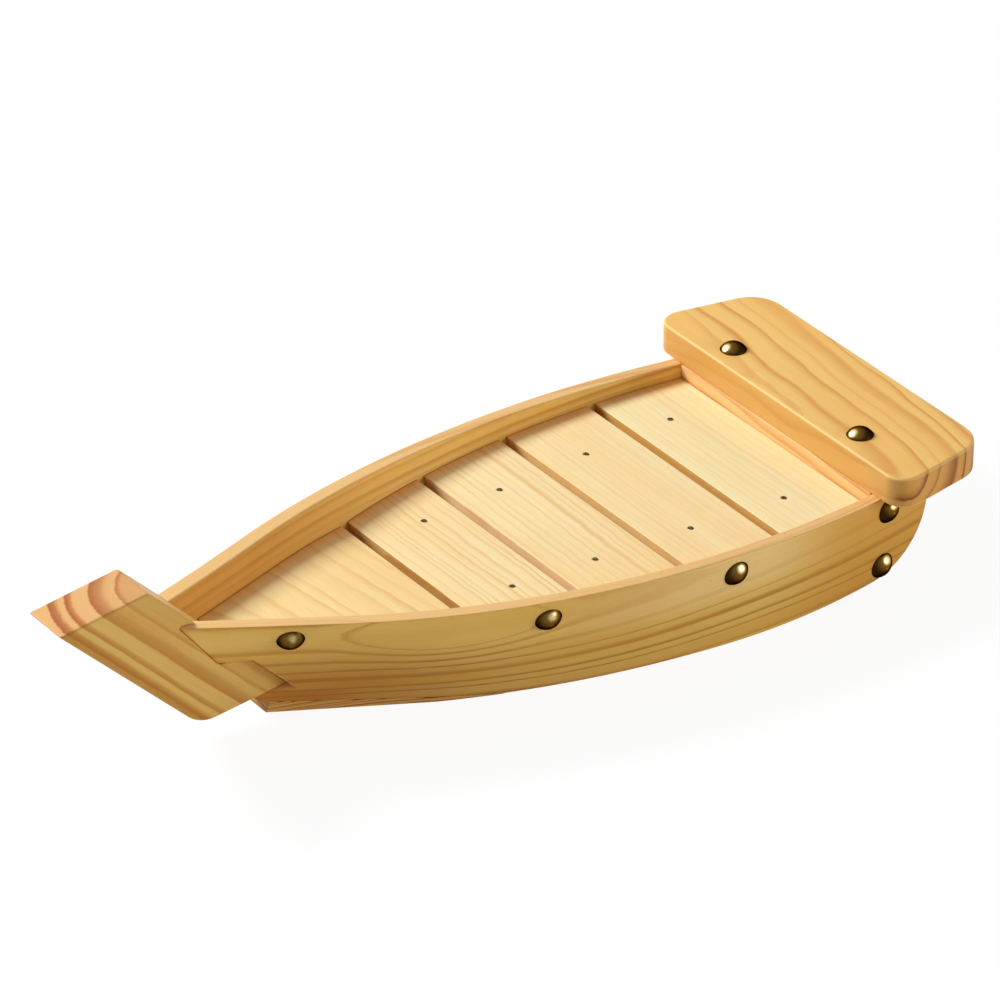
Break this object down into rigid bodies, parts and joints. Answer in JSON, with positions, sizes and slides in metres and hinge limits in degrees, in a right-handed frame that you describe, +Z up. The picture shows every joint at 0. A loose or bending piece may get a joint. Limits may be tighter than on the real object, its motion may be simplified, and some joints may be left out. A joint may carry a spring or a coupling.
{
  "type": "wooden sushi boat",
  "caption": "Wooden serving boat with bent side planks on a raked stem, a slatted tray deck, an overhanging stern board and domed brass tacks.",
  "frame": {"origin": "middle of the base, on the table plane, under the middle of the overall length", "axes": "+X towards the stern, the stem head is at -X; +Y to starboard; +Z up"},
  "size_m": [0.423, 0.1738, 0.0855],
  "materials": {
    "stem_wood": "satin lacquered pine, end grain at the head",
    "plank_wood": "satin lacquered pine, grain along the plank",
    "stern_wood": "satin lacquered pine, grain across the boat",
    "deck_wood": "pale sanded pine, grain across the boat",
    "hidden_wood": "plain pine",
    "tack_brass": "antique brass, polished on the domes",
    "nail_steel": "dull steel pin heads"
  },
  "bodies": {
    "root": {"bow_stem": "stem_wood", "port_plank": "plank_wood", "starboard_plank": "plank_wood", "transom": "stern_wood", "stern_seat": "stern_wood", "bottom_board": "hidden_wood", "deck_slat_1": "deck_wood", "deck_slat_2": "deck_wood", "deck_slat_3": "deck_wood", "deck_slat_4": "deck_wood", "bow_deck_board": "deck_wood", "port_deck_bearer": "hidden_wood", "starboard_deck_bearer": "hidden_wood", "port_tacks": "tack_brass", "starboard_tacks": "tack_brass", "seat_tacks": "tack_brass", "deck_nails": "nail_steel"}
  },
  "joints": []
}
